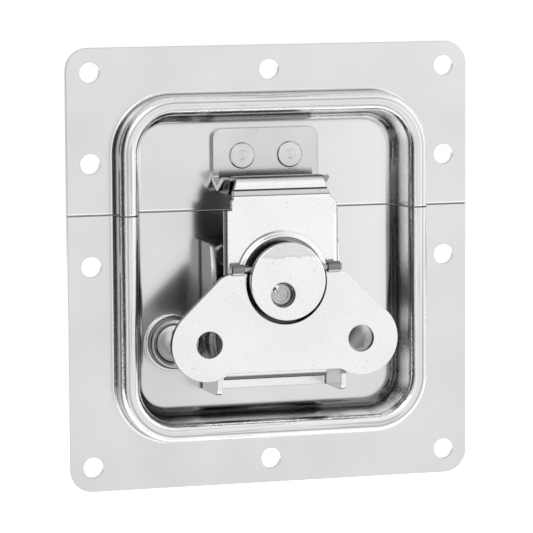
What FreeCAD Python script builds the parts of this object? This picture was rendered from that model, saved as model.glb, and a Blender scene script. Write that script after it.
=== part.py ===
import FreeCAD, Part
import math
import os
import re
import Sketcher

# Recessed butterfly latch: a two-part pressed dish, a keeper on the upper half, and on the
# lower half a draw hook worked by an eccentric cam with a folding butterfly wing, and a key lock.
# Millimetres. The front faces -Y, +Z is up, +X is right. The origin is the centre of the four
# corner holes, on the back face of the dish's flange. "out" is the distance in front of that face.

doc = FreeCAD.newDocument("ButterflyLatch")

# Driving dimensions
SIZES = {
    # Pressed dish
    "dish_sheet": 1.2,
    "flange_side": 11.6,
    "flange_end": 11.5,
    "flange_corner": 5.5,
    "rivet_hole_radius": 2.5,
    "hole_margin_side": 5.8,
    "hole_margin_end": 5.88,
    "side_hole_pitch": 24.8,
    "parting_z": 13.4,
    "parting_gap": 0.12,
    "rim_width": 78.4,
    "rim_height": 84.1,
    "rim_corner": 14.0,
    "rim_crest": 6.0,
    "crest_radius": 2.3,
    "foot_bend": 0.8,
    "rim_land": 0.8,
    "wall_lean": 1.3,
    "floor_depth": 4.5,
    "floor_bend": 2.5,
    "floor_overlap": 1.0,
    # Keeper
    "keeper_sheet": 1.5,
    "keeper_width": 26.8,
    "keeper_top_gap": 0.35,
    "keeper_height": 15.65,
    "keeper_lip_reach": 9.9,
    "keeper_lip_height": 2.9,
    "keeper_bend": 2.4,
    "keeper_lip_bend": 0.8,
    "keeper_corner": 2.5,
    "horn_width": 1.5,
    "horn_tip_reach": 4.6,
    "horn_tip_rise": 0.4,
    "horn_lean": 30.0,
    "horn_bend": 0.5,
    "horn_reach": 10.5,
    "horn_nose": 1.1,
    "horn_rise": 1.38,
    "keeper_rivet_pitch": 12.2,
    "keeper_rivet_drop": 6.7,
    "keeper_rivet_radius": 2.0,
    "keeper_head_radius": 3.2,
    "keeper_head_height": 0.5,
    # Base bracket
    "bracket_sheet": 1.3,
    "bracket_width": 32.8,
    "bracket_top": 6.0,
    "bracket_end_gap": 3.25,
    "bracket_height": 13.8,
    "bracket_top_height": 8.2,
    "bracket_lug": 4.0,
    "bracket_corner": 2.0,
    "bracket_top_corner": 1.2,
    "bracket_bend": 0.4,
    "bracket_rivet_gap": 1.5,
    "bracket_rivet_top": 2.5,
    "bracket_rivet_bottom": -22.0,
    "bracket_rivet_radius": 1.6,
    "bracket_head_radius": 2.6,
    "bracket_head_height": 0.9,
    "rivet_chamfer": 0.25,
    # Cam
    "pivot_x": -1.35,
    "pivot_z": -5.9,
    "pivot_radius": 2.2,
    "pivot_head_radius": 2.8,
    "pivot_head_height": 1.2,
    "pivot_tail_radius": 4.5,
    "pivot_tail_height": 1.3,
    "pivot_chamfer": 0.3,
    "washer_radius": 6.5,
    "washer_height": 0.6,
    "journal_radius": 6.0,
    "drum_flange_gap": 1.6,
    "drum_flange_height": 1.1,
    "drum_radius": 6.5,
    "drum_offset": 2.2,
    "neck_radius": 8.4,
    "disc_radius": 9.45,
    "disc_height": 1.5,
    "disc_edge": 0.35,
    "disc_rise": 3.22,
    "disc_face": 14.7,
    "disc_bore_radius": 3.05,
    "head_recess": 1.8,
    # Draw hook
    "hook_face": 10.0,
    "hook_sheet": 1.2,
    "hook_side_gap": 0.75,
    "hook_side_depth": 1.8,
    "hook_side_bottom": -21.5,
    "hook_edge_radius": 1.2,
    "hook_top_drop": 2.83,
    "hook_shoulder_drop": 3.35,
    "hook_left_step": 1.65,
    "hook_right_step": 0.5,
    "hook_left_corner": 0.8,
    "hook_right_corner": 2.0,
    "hook_fold": 0.4,
    "foot_step": 1.35,
    "foot_back_step": 5.6,
    "foot_bottom": -27.4,
    "foot_edge": 0.7,
    "claw_root": 2.0,
    "claw_step": 1.35,
    "claw_lean": 15.0,
    "claw_radius": 1.0,
    "claw_reach": 6.3,
    "claw_rise": 0.5,
    "claw_drop": 0.35,
    "claw_side_step": 2.15,
    "claw_taper": 1.35,
    "collar_radius": 11.6,
    "collar_slope": 1.0,
    "collar_width": 1.7,
    "collar_height": 0.5,
    # Wing
    "wing_back": 10.9,
    "wing_sheet": 1.4,
    "wing_top": -0.7,
    "wing_bottom": -24.7,
    "ear_x": 19.6,
    "ear_z": -17.5,
    "ear_radius": 9.0,
    "ear_hole_radius": 3.25,
    "ear_hole_shift": 0.4,
    "cut_out_shift": 0.3,
    "cut_out_drop": 0.5,
    "wing_slope": 44.0,
    "wing_corner": 5.0,
    "wing_blend": 3.0,
    "hinge_z": 0.25,
    "knuckle_radius": 1.35,
    "knuckle_inner": 10.6,
    "knuckle_length": 3.0,
    "pin_radius": 0.65,
    "pin_head_radius": 0.85,
    "pin_head_length": 0.5,
    # Key lock
    "lock_side_gap": 0.2,
    "lock_z": -18.6,
    "lock_seat_radius": 7.0,
    "lock_seat_height": 0.9,
    "lock_seat_edge": 0.3,
    "lock_rim_radius": 6.3,
    "lock_rim_height": 2.9,
    "lock_rim_edge": 0.5,
    "lock_thread_radius": 5.9,
    "lock_barrel_back": 14.0,
    "plug_radius": 4.6,
    "plug_recess": 0.6,
    "plug_funnel": 0.9,
    "plug_chamfer": 0.2,
    "key_slot_width": 1.4,
    "key_slot_height": 6.0,
    "key_slot_depth": 3.0,
    "nut_radius": 7.6,
    "nut_height": 2.6,
    "tail_width": 4.0,
    "tail_length": 1.6,
    "tail_root": 0.5,
    "tongue_length": 13.0,
    "tongue_width": 8.0,
    "tongue_heel_corner": 3.5,
    "tongue_tip_corner": 1.0,
    "screw_radius": 1.2,
    "screw_head_radius": 2.9,
    "screw_head_height": 1.4,
    "screw_chamfer": 0.5,
    "screw_length": 4.0,
    "screw_hole_depth": 5.0,
    # Fits and clearances
    "running_gap": 0.05,
    "rivet_gap": 0.04,
    "face_gap": 0.15,
    "slot_gap": 0.15,
    "wing_gap": 0.7,
    "rise_error": 0.22,
}

sheet = doc.addObject("Spreadsheet::Sheet", "Sizes")
for row, (alias, number) in enumerate(SIZES.items(), start=1):
    sheet.set(f"A{row}", alias)
    sheet.set(f"B{row}", str(number))
    sheet.setAlias(f"B{row}", alias)
doc.recompute()


def named(text):
    """Turn bare size names in a formula into references to the sheet."""
    return re.sub(r"[a-z_]+", lambda found: f"Sizes.{found[0]}" if found[0] in SIZES else found[0], text)


def value(text):
    """The number that a formula of size names gives."""
    return float(sheet.evalExpression(named(text)))


# Heights in front of the flange's back face, as formulas of the sizes
FLOOR_FRONT = "( dish_sheet - floor_depth )"
FLOOR_BACK = "( 0 - floor_depth )"
KEEPER_FACE = f"( {FLOOR_FRONT} + keeper_sheet )"
BRACKET_FACE = f"( {FLOOR_FRONT} + bracket_sheet )"
BRACKET_EDGE = f"( {FLOOR_FRONT} + bracket_height )"
WASHER_FACE = f"( {BRACKET_FACE} + washer_height )"
HOOK_FRONT = "( dish_sheet + hook_face )"
HOOK_BACK = f"( {HOOK_FRONT} - hook_sheet )"
DRUM_FLANGE_FRONT = f"( {HOOK_BACK} - 2 * face_gap )"
DRUM_FLANGE_BACK = f"( {DRUM_FLANGE_FRONT} - drum_flange_height )"
WING_BACK = "( dish_sheet + wing_back )"
NECK_BACK = f"( {WING_BACK} - face_gap )"
DISC_FACE = "( dish_sheet + disc_face )"
DISC_BACK = f"( {DISC_FACE} - disc_height )"
HINGE_OUT = f"( {WING_BACK} + knuckle_radius )"
HEAD_FRONT = f"( {DISC_FACE} - head_recess )"
HEAD_BACK = f"( {HEAD_FRONT} - pivot_head_height )"

# Places shared by several pieces
RIM_INSET = "( 2 * crest_radius + wall_lean )"
FLAT_END = f"( rim_height / 2 - {RIM_INSET} - floor_bend )"
PLATE_X = "( rim_width / 2 + flange_side )"
PLATE_Z = "( rim_height / 2 + flange_end )"
KEEPER_TOP = f"( {FLAT_END} - keeper_top_gap )"
KEEPER_BOTTOM = f"( {KEEPER_TOP} - keeper_height )"
KEEPER_LIP_TOP = f"( {KEEPER_BOTTOM} + keeper_lip_height )"
BRACKET_BOTTOM = f"( bracket_end_gap - {FLAT_END} )"
BRACKET_RIVET_X = ("( bracket_width / 2 - bracket_sheet - bracket_bend"
                   " - bracket_head_radius - bracket_rivet_gap )")
HORN_TOP = f"( {KEEPER_LIP_TOP} + horn_rise )"
HOOK_HALF = "( bracket_width / 2 - bracket_sheet - hook_side_gap )"
HOOK_TOP = f"( {KEEPER_LIP_TOP} - hook_top_drop )"
HOOK_SHOULDER = f"( {HOOK_TOP} - hook_shoulder_drop )"
CLAW_CROWN = f"( {KEEPER_LIP_TOP} + claw_rise + hook_sheet )"
CLAW_BACK = f"( {HOOK_FRONT} - claw_step - claw_reach )"
LOCK_X = "( 0 - bracket_width / 2 - lock_side_gap - lock_seat_radius )"
DISC_X = "0"
DISC_Z = "( pivot_z + disc_rise )"
DRUM_Z = "( pivot_z - drum_offset )"


# Building blocks
def bind(thing, prop, text):
    """Tie a property to a formula of the sizes."""
    thing.setExpression(prop, named(text))


def new_body(label, x="0", z="0"):
    """A sub-part, modelled about its own axis and placed at x, z."""
    body = doc.addObject("PartDesign::Body", label)
    body.Label = label
    bind(body, "Placement.Base.x", x)
    bind(body, "Placement.Base.z", z)
    return body


def new_sketch(body, name, plane, offset="0"):
    """A sketch on one of the body's own planes, moved off it along its normal."""
    sketch = body.newObject("Sketcher::SketchObject", f"{body.Name}_{name}")
    origin_plane = next(item for item in body.Origin.OriginFeatures if item.Role == plane)
    sketch.AttachmentSupport = [(origin_plane, "")]
    sketch.MapMode = "FlatFace"
    bind(sketch, "AttachmentOffset.Base.z", offset)
    return sketch


def pin_point(sketch, geometry, point, x, y):
    """Hold one point of a sketch at the place that two formulas give."""
    across = sketch.addConstraint(Sketcher.Constraint("DistanceX", -1, 1, geometry, point, value(x)))
    bind(sketch, f"Constraints[{across}]", x)
    along = sketch.addConstraint(Sketcher.Constraint("DistanceY", -1, 1, geometry, point, value(y)))
    bind(sketch, f"Constraints[{along}]", y)


def circle(sketch, x, y, radius):
    """A circle with its centre and radius tied to formulas."""
    centre = FreeCAD.Vector(value(x), value(y), 0)
    ring = sketch.addGeometry(Part.Circle(centre, FreeCAD.Vector(0, 0, 1), value(radius)))
    pin_point(sketch, ring, 3, x, y)
    size = sketch.addConstraint(Sketcher.Constraint("Radius", ring, value(radius)))
    bind(sketch, f"Constraints[{size}]", radius)


def outline(sketch, corners, closed=True):
    """Straight runs between corners (x, y) or (x, y, radius); a radius rounds the corner."""
    places = [FreeCAD.Vector(value(corner[0]), value(corner[1]), 0) for corner in corners]
    count = len(corners)
    bends = [value(corner[2]) if len(corner) > 2 else 0.0 for corner in corners]
    starts, ends = list(places), list(places)
    centres = [None] * count
    for index in range(count):
        if bends[index] == 0.0:
            continue
        back = (places[index - 1] - places[index]).normalize()
        ahead = (places[(index + 1) % count] - places[index]).normalize()
        half = back.getAngle(ahead) / 2
        reach = bends[index] / math.tan(half)
        starts[index] = places[index] + back * reach
        ends[index] = places[index] + ahead * reach
        middle = (back + ahead).normalize()
        centres[index] = places[index] + middle * (bends[index] / math.sin(half))
    last = count if closed else count - 1
    runs = []
    for index in range(last):
        following = (index + 1) % count
        runs.append(sketch.addGeometry(Part.LineSegment(ends[index], starts[following])))
    for index, corner in enumerate(corners):
        before = runs[index - 1] if closed or index > 0 else None
        after = runs[index] if closed or index < last else None
        if bends[index] == 0.0:
            if before is not None and after is not None:
                sketch.addConstraint(Sketcher.Constraint("Coincident", before, 2, after, 1))
            if after is not None:
                pin_point(sketch, after, 1, corner[0], corner[1])
            else:
                pin_point(sketch, before, 2, corner[0], corner[1])
            continue
        first = (starts[index] - centres[index])
        second = (ends[index] - centres[index])
        turns_left = first.cross(second).z > 0
        low, high = (first, second) if turns_left else (second, first)
        bow = sketch.addGeometry(Part.ArcOfCircle(
            Part.Circle(centres[index], FreeCAD.Vector(0, 0, 1), bends[index]),
            math.atan2(low.y, low.x), math.atan2(high.y, high.x)))
        enter, leave = (1, 2) if turns_left else (2, 1)
        sketch.addConstraint(Sketcher.Constraint("Tangent", before, 2, bow, enter))
        sketch.addConstraint(Sketcher.Constraint("Tangent", bow, leave, after, 1))
        size = sketch.addConstraint(Sketcher.Constraint("Radius", bow, bends[index]))
        bind(sketch, f"Constraints[{size}]", corner[2])
        mark = sketch.addGeometry(Part.Point(places[index]), True)
        pin_point(sketch, mark, 1, corner[0], corner[1])
        sketch.addConstraint(Sketcher.Constraint("PointOnObject", mark, 1, before))
        sketch.addConstraint(Sketcher.Constraint("PointOnObject", mark, 1, after))


def pad(body, name, sketch, length, both_ways=False):
    """Material from a sketch along its normal, or half of it each way."""
    doc.recompute()
    feature = body.newObject("PartDesign::Pad", f"{body.Name}_{name}")
    feature.Profile = sketch
    if both_ways:
        feature.SideType = "Symmetric"
    bind(feature, "Length", length)
    body.Tip = feature
    return feature


def pocket(body, name, sketch, depth=None):
    """A cut against the sketch's normal to a depth, or right through both ways."""
    doc.recompute()
    feature = body.newObject("PartDesign::Pocket", f"{body.Name}_{name}")
    feature.Profile = sketch
    if depth is None:
        feature.Type = "ThroughAll"
        feature.SideType = "Symmetric"
    else:
        bind(feature, "Length", depth)
    body.Tip = feature
    return feature


def front_plate(body, name, corners, back, thickness):
    """A flat plate seen from the front, from its back height forwards."""
    sketch = new_sketch(body, f"{name}_outline", "XZ_Plane", back)
    outline(sketch, corners)
    return pad(body, name, sketch, thickness)


def side_strip(body, name, corners, width):
    """A section in (out, z) carried the same way to left and right."""
    sketch = new_sketch(body, f"{name}_section", "YZ_Plane")
    outline(sketch, [("0 - " + corner[0],) + tuple(corner[1:]) for corner in corners])
    return pad(body, name, sketch, width, both_ways=True)


def front_discs(body, name, centres, radius, back, thickness):
    """Round plates seen from the front."""
    sketch = new_sketch(body, f"{name}_circles", "XZ_Plane", back)
    for x, z in centres:
        circle(sketch, x, z, radius)
    return pad(body, name, sketch, thickness)


def front_holes(body, name, centres, radius):
    """Round holes right through, bored from the front."""
    sketch = new_sketch(body, f"{name}_circles", "XZ_Plane")
    for x, z in centres:
        circle(sketch, x, z, radius)
    return pocket(body, name, sketch)


def turned(body, name, corners):
    """A turned form: a half section of (out, radius) corners spun about the body's own Y axis."""
    sketch = new_sketch(body, f"{name}_section", "YZ_Plane")
    outline(sketch, [("0 - " + corner[0],) + tuple(corner[1:]) for corner in corners])
    doc.recompute()
    feature = body.newObject("PartDesign::Revolution", f"{body.Name}_{name}")
    feature.Profile = sketch
    feature.ReferenceAxis = (sketch, ["H_Axis"])
    feature.Angle = 360
    body.Tip = feature
    return feature


def straight_edges(shape, direction, places):
    """Names of the straight edges along a direction that pass through the given places."""
    names = []
    for number, edge in enumerate(shape.Edges, start=1):
        if not isinstance(edge.Curve, Part.Line):
            continue
        if abs(abs(edge.Curve.Direction.dot(direction)) - 1) > 1e-6:
            continue
        for place in places:
            gap = (place - edge.Vertexes[0].Point).cross(direction).Length
            if gap < 1e-3:
                names.append(f"Edge{number}")
                break
    return names


def round_edges(body, name, direction, places, radius):
    """Round the straight edges of the body that pass through the given places."""
    doc.recompute()
    base = body.Tip
    names = straight_edges(base.Shape, direction, places)
    if len(names) < len(places):
        raise ValueError(f"{body.Name} {name}: {len(names)} edges found for {len(places)} places")
    feature = body.newObject("PartDesign::Fillet", f"{body.Name}_{name}")
    feature.Base = (base, names)
    bind(feature, "Radius", radius)
    body.Tip = feature
    return feature


ALONG_X = FreeCAD.Vector(1, 0, 0)
ALONG_Y = FreeCAD.Vector(0, 1, 0)


def place(x="0", out="0", z="0"):
    """A point of the latch from three formulas."""
    return FreeCAD.Vector(value(x), -value(out), value(z))


# Pressed dish: one half from the flange through the rolled rim and the wall to the floor
def dish_half(label, side):
    body = new_body(label)
    edge_z = f"{side} * {PLATE_Z}"
    seam = f"( parting_z + {side} * parting_gap / 2 )"
    land = "( foot_bend + rim_land )"
    fall = "( rim_crest + floor_depth )"
    slant = f"( sqrt( 1 + ( wall_lean / {fall} ) * ( wall_lean / {fall} ) ) )"
    shelf = f"( {RIM_INSET} + floor_bend + floor_overlap )"
    inset = f"( {RIM_INSET} + floor_bend + floor_overlap / 2 )"

    # Flange, open behind the rim's foot
    mouth_x = f"( rim_width / 2 + {land} / 2 )"
    mouth_z = f"( {side} * ( rim_height / 2 + {land} / 2 ) )"
    mouth_corner = f"( rim_corner + {land} / 2 )"
    front_plate(body, "flange", [
        (f"0 - {PLATE_X}", seam),
        (f"0 - {PLATE_X}", edge_z, "flange_corner"),
        (PLATE_X, edge_z, "flange_corner"),
        (PLATE_X, seam),
        (mouth_x, seam),
        (mouth_x, mouth_z, mouth_corner),
        (f"0 - {mouth_x}", mouth_z, mouth_corner),
        (f"0 - {mouth_x}", seam),
    ], "0", "dish_sheet")

    # Rim and wall, swept round the opening from one end of the seam to the other
    path = new_sketch(body, "rim_path", "XZ_Plane")
    outline(path, [
        ("0 - rim_width / 2", seam),
        ("0 - rim_width / 2", f"{side} * rim_height / 2", "rim_corner"),
        ("rim_width / 2", f"{side} * rim_height / 2", "rim_corner"),
        ("rim_width / 2", seam),
    ], closed=False)
    section = new_sketch(body, "rim_section", "XY_Plane", seam)
    crest = "( dish_sheet + rim_crest )"
    across = [
        (f"( 0 - {land} )", "dish_sheet"),
        ("0", "dish_sheet", "foot_bend"),
        ("0", crest, "crest_radius"),
        ("( 2 * crest_radius )", crest, "crest_radius"),
        (RIM_INSET, FLOOR_FRONT, "floor_bend"),
        (shelf, FLOOR_FRONT),
        (shelf, FLOOR_BACK),
        (f"( {RIM_INSET} + wall_lean * dish_sheet / {fall} - dish_sheet * {slant} )",
         FLOOR_BACK, "( floor_bend + dish_sheet )"),
        (f"( 2 * crest_radius + wall_lean * dish_sheet / {fall} - dish_sheet * {slant} )",
         "rim_crest", "( crest_radius - dish_sheet )"),
        ("dish_sheet", "rim_crest", "( crest_radius - dish_sheet )"),
        ("dish_sheet", "0", "( foot_bend + dish_sheet )"),
        (f"( 0 - {land} )", "0"),
    ]
    outline(section, [(f"{inward} - rim_width / 2", f"0 - {out}") + tuple(bend)
                      for inward, out, *bend in across])
    doc.recompute()
    rim = body.newObject("PartDesign::AdditivePipe", f"{label}_rim")
    rim.Profile = section
    rim.Spine = (path, [])
    body.Tip = rim

    # Floor
    floor_x = f"( rim_width / 2 - {inset} )"
    floor_z = f"( {side} * ( rim_height / 2 - {inset} ) )"
    floor_corner = f"( rim_corner - {inset} )"
    front_plate(body, "floor", [
        (f"0 - {floor_x}", seam),
        (f"0 - {floor_x}", floor_z, floor_corner),
        (floor_x, floor_z, floor_corner),
        (floor_x, seam),
    ], FLOOR_BACK, "dish_sheet")

    # Rivet holes round the flange
    corner_z = f"{side} * ( {PLATE_Z} - hole_margin_end )"
    flank_z = f"( parting_z + {side} * side_hole_pitch / 2 )"
    holes = [("0", corner_z)]
    for hand in ("0 -", "0 +"):
        holes.append((f"{hand} ( {PLATE_X} - hole_margin_side )", corner_z))
        holes.append((f"{hand} ( {PLATE_X} - hole_margin_side )", flank_z))
    front_holes(body, "flange_holes", holes, "rivet_hole_radius")
    return body


KEEPER_RIVETS = [(f"0 {hand} keeper_rivet_pitch / 2", f"( {KEEPER_TOP} - keeper_rivet_drop )")
                 for hand in "-+"]
BRACKET_RIVETS = [(f"0 {hand} {BRACKET_RIVET_X}", level)
                  for hand in "-+" for level in ("bracket_rivet_top", "bracket_rivet_bottom")]

upper_dish = dish_half("upper_dish", 1)
front_holes(upper_dish, "keeper_holes", KEEPER_RIVETS, "( keeper_rivet_radius + rivet_gap )")
lower_dish = dish_half("lower_dish", -1)
front_holes(lower_dish, "bracket_holes", BRACKET_RIVETS, "( bracket_rivet_radius + rivet_gap )")
front_holes(lower_dish, "pivot_hole", [("pivot_x", "pivot_z")], "( pivot_radius + rivet_gap )")
front_holes(lower_dish, "lock_hole", [(LOCK_X, "lock_z")], "( lock_thread_radius + rivet_gap )")


# Keeper: a plate on the upper floor whose lower edge turns forwards and up into a gutter, with a
# horn bent to a V at each end of it
def horn_section(plate_low):
    lean = "( horn_lean * 1deg )"
    tip_out = f"( {FLOOR_FRONT} + horn_tip_reach )"
    tip_z = f"( {KEEPER_BOTTOM} + horn_tip_rise )"
    root_z = f"( {tip_z} + horn_tip_reach * tan( {lean} ) )"
    end_out = f"( {FLOOR_FRONT} + horn_reach )"
    end_z = f"( {tip_z} + ( horn_reach - horn_tip_reach ) * tan( {lean} ) )"
    groove_z = f"( {tip_z} + keeper_sheet / cos( {lean} ) )"
    face_z = f"( {groove_z} + ( horn_tip_reach - keeper_sheet ) * tan( {lean} ) )"
    inside_out = f"( {tip_out} + ( {HORN_TOP} - {groove_z} ) / tan( {lean} ) )"
    outer = "( keeper_sheet + horn_bend )"
    return [
        (FLOOR_FRONT, plate_low),
        (FLOOR_FRONT, root_z, outer),
        (tip_out, tip_z, outer),
        (end_out, end_z),
        (f"( {end_out} - horn_nose )", HORN_TOP),
        (inside_out, HORN_TOP),
        (tip_out, groove_z, "horn_bend"),
        (KEEPER_FACE, face_z, "horn_bend"),
        (KEEPER_FACE, plate_low),
    ]


def make_keeper():
    body = new_body("keeper_plate")
    half = "keeper_width / 2"
    plate_low = f"( {KEEPER_LIP_TOP} + 2 * keeper_sheet )"
    front_plate(body, "plate", [
        (f"0 - {half}", plate_low),
        (f"0 - {half}", KEEPER_TOP, "keeper_corner"),
        (half, KEEPER_TOP, "keeper_corner"),
        (half, plate_low),
    ], FLOOR_FRONT, "keeper_sheet")
    lip = f"( {FLOOR_FRONT} + keeper_lip_reach )"
    side_strip(body, "gutter", [
        (FLOOR_FRONT, plate_low),
        (FLOOR_FRONT, KEEPER_BOTTOM, "( keeper_sheet + keeper_bend )"),
        (lip, KEEPER_BOTTOM, "( keeper_sheet + keeper_lip_bend )"),
        (lip, KEEPER_LIP_TOP),
        (f"( {lip} - keeper_sheet )", KEEPER_LIP_TOP),
        (f"( {lip} - keeper_sheet )", f"( {KEEPER_BOTTOM} + keeper_sheet )", "keeper_lip_bend"),
        (KEEPER_FACE, f"( {KEEPER_BOTTOM} + keeper_sheet )", "keeper_bend"),
        (KEEPER_FACE, plate_low),
    ], "( keeper_width - 2 * horn_width )")
    for number, side in enumerate((-1, 1)):
        start = f"( {side} * {half} - {max(side, 0)} * horn_width )"
        section = new_sketch(body, f"horn{number}_section", "YZ_Plane", start)
        outline(section, [("0 - " + corner[0],) + tuple(corner[1:]) for corner in horn_section(plate_low)])
        pad(body, f"horn{number}", section, "horn_width")
    front_holes(body, "holes", KEEPER_RIVETS, "( keeper_rivet_radius + rivet_gap )")
    return body


keeper_plate = make_keeper()


# Base bracket: a channel on the lower floor whose walls guide the hook's foot and rise from the
# top down to a lug at the bottom
def make_bracket():
    body = new_body("base_bracket")
    section = new_sketch(body, "section", "XY_Plane", BRACKET_BOTTOM)
    wall = "bracket_width / 2"
    inner = "( bracket_width / 2 - bracket_sheet )"
    outline(section, [
        (f"0 - {wall}", f"0 - {FLOOR_FRONT}", "( bracket_sheet + bracket_bend )"),
        (f"0 - {wall}", f"0 - {BRACKET_EDGE}"),
        (f"0 - {inner}", f"0 - {BRACKET_EDGE}"),
        (f"0 - {inner}", f"0 - {BRACKET_FACE}", "bracket_bend"),
        (inner, f"0 - {BRACKET_FACE}", "bracket_bend"),
        (inner, f"0 - {BRACKET_EDGE}"),
        (wall, f"0 - {BRACKET_EDGE}"),
        (wall, f"0 - {FLOOR_FRONT}", "( bracket_sheet + bracket_bend )"),
    ])
    pad(body, "channel", section, f"( bracket_top - {BRACKET_BOTTOM} )")
    top_edge = f"( {FLOOR_FRONT} + bracket_top_height )"
    beyond = f"( {BRACKET_EDGE} + bracket_sheet )"
    above = "( bracket_top + bracket_sheet )"
    lug_top = f"( {BRACKET_BOTTOM} + bracket_lug )"
    slope = new_sketch(body, "slope_outline", "YZ_Plane")
    outline(slope, [
        (f"0 - {top_edge}", "bracket_top"),
        (f"0 - {top_edge}", above),
        (f"0 - {beyond}", above),
        (f"0 - {beyond}", lug_top),
        (f"0 - {BRACKET_EDGE}", lug_top),
    ])
    pocket(body, "slope", slope)
    round_edges(body, "tops", ALONG_X, [place("0", top_edge, "bracket_top")], "bracket_top_corner")
    round_edges(body, "lugs", ALONG_X, [place("0", BRACKET_EDGE, BRACKET_BOTTOM)], "bracket_corner")
    front_holes(body, "rivet_holes", BRACKET_RIVETS, "( bracket_rivet_radius + rivet_gap )")
    front_holes(body, "pivot_hole", [("pivot_x", "pivot_z")], "( pivot_radius + rivet_gap )")
    return body


base_bracket = make_bracket()


# Flat-headed rivets: each is a turned piece, and like ones share a node
def rivet_group(label, centres, radius, head_radius, head_height, seat):
    rivets = []
    for number, (x, z) in enumerate(centres, start=1):
        body = new_body(f"{label}_{number}", x, z)
        turned(body, "rivet", [
            (f"( {FLOOR_BACK} - {head_height} )", "0"),
            (f"( {FLOOR_BACK} - {head_height} )", f"( {head_radius} - rivet_chamfer )"),
            (FLOOR_BACK, head_radius),
            (FLOOR_BACK, radius),
            (seat, radius),
            (seat, head_radius),
            (f"( {seat} + {head_height} - rivet_chamfer )", head_radius),
            (f"( {seat} + {head_height} )", f"( {head_radius} - rivet_chamfer )"),
            (f"( {seat} + {head_height} )", "0"),
        ])
        rivets.append(body)
    group = doc.addObject("Part::Compound", label)
    group.Label = label
    group.Links = rivets
    return group


keeper_rivets = rivet_group("keeper_rivets", KEEPER_RIVETS, "keeper_rivet_radius",
                            "keeper_head_radius", "keeper_head_height", KEEPER_FACE)
bracket_rivets = rivet_group("bracket_rivets", BRACKET_RIVETS, "bracket_rivet_radius",
                             "bracket_head_radius", "bracket_head_height", BRACKET_FACE)


# Pivot rivet: from behind the lower floor up into the recess of the cam disc
def make_pivot():
    body = new_body("pivot_rivet", "pivot_x", "pivot_z")
    tail = f"( {FLOOR_BACK} - pivot_tail_height )"
    turned(body, "rivet", [
        (tail, "0"),
        (tail, "( pivot_tail_radius - pivot_chamfer )"),
        (f"( {tail} + pivot_chamfer )", "pivot_tail_radius"),
        (FLOOR_BACK, "pivot_tail_radius"),
        (FLOOR_BACK, "pivot_radius"),
        (HEAD_BACK, "pivot_radius"),
        (HEAD_BACK, "pivot_head_radius"),
        (f"( {HEAD_FRONT} - pivot_chamfer )", "pivot_head_radius"),
        (HEAD_FRONT, "( pivot_head_radius - pivot_chamfer )"),
        (HEAD_FRONT, "0"),
    ])
    return body


pivot_rivet = make_pivot()


# Friction washer between the bracket and the cam
def make_washer():
    body = new_body("friction_washer", "pivot_x", "pivot_z")
    turned(body, "ring", [
        (BRACKET_FACE, "( pivot_radius + running_gap )"),
        (BRACKET_FACE, "washer_radius"),
        (WASHER_FACE, "washer_radius"),
        (WASHER_FACE, "( pivot_radius + running_gap )"),
    ])
    return body


friction_washer = make_washer()


# Cam drum: a journal and a flange on the pivot, the eccentric in the hook's slot, and the neck
# under the disc, which carries the wing's hinge pin
def make_drum():
    body = new_body("cam_drum", "pivot_x", "pivot_z")
    bore = "( pivot_radius + running_gap )"
    recess = "( pivot_head_radius + 4 * running_gap )"
    journal_back = f"( {WASHER_FACE} + running_gap )"
    turned(body, "journal", [
        (journal_back, bore),
        (journal_back, "journal_radius"),
        (DRUM_FLANGE_FRONT, "journal_radius"),
        (DRUM_FLANGE_FRONT, bore),
    ])
    drum_centre = [("0", "0 - drum_offset")]
    neck_centre = [(f"( {DISC_X} - pivot_x )", "disc_rise")]
    flange_radius = f"( {HOOK_HALF} - hook_sheet - pivot_x - drum_offset - drum_flange_gap )"
    front_discs(body, "flange", drum_centre, flange_radius, DRUM_FLANGE_BACK, "drum_flange_height")
    front_discs(body, "eccentric", drum_centre, "drum_radius", DRUM_FLANGE_FRONT,
                f"( {NECK_BACK} - {DRUM_FLANGE_FRONT} )")
    front_discs(body, "neck", neck_centre, "neck_radius", NECK_BACK, f"( {DISC_BACK} - {NECK_BACK} )")
    front_holes(body, "bore", [("0", "0")], bore)
    head_seat = new_sketch(body, "head_seat_circle", "XZ_Plane", DISC_BACK)
    circle(head_seat, "0", "0", recess)
    pocket(body, "head_seat", head_seat, f"( {DISC_BACK} - {HEAD_BACK} + running_gap )")
    pin_hole = new_sketch(body, "pin_hole_circle", "YZ_Plane")
    circle(pin_hole, f"0 - {HINGE_OUT}", "( hinge_z - pivot_z )", "( pin_radius + running_gap )")
    pocket(body, "pin_hole", pin_hole)
    return body


cam_drum = make_drum()


# Cam disc: the round cap over the neck, with a bore over the pivot rivet's head
def make_disc():
    body = new_body("cam_disc", DISC_X, DISC_Z)
    turned(body, "cap", [
        (DISC_BACK, "0"),
        (DISC_BACK, "disc_radius"),
        (DISC_FACE, "disc_radius", "disc_edge"),
        (DISC_FACE, "0"),
    ])
    front_holes(body, "bore", [(f"( pivot_x - {DISC_X} )", "0 - disc_rise")], "disc_bore_radius")
    return body


cam_disc = make_disc()


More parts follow.
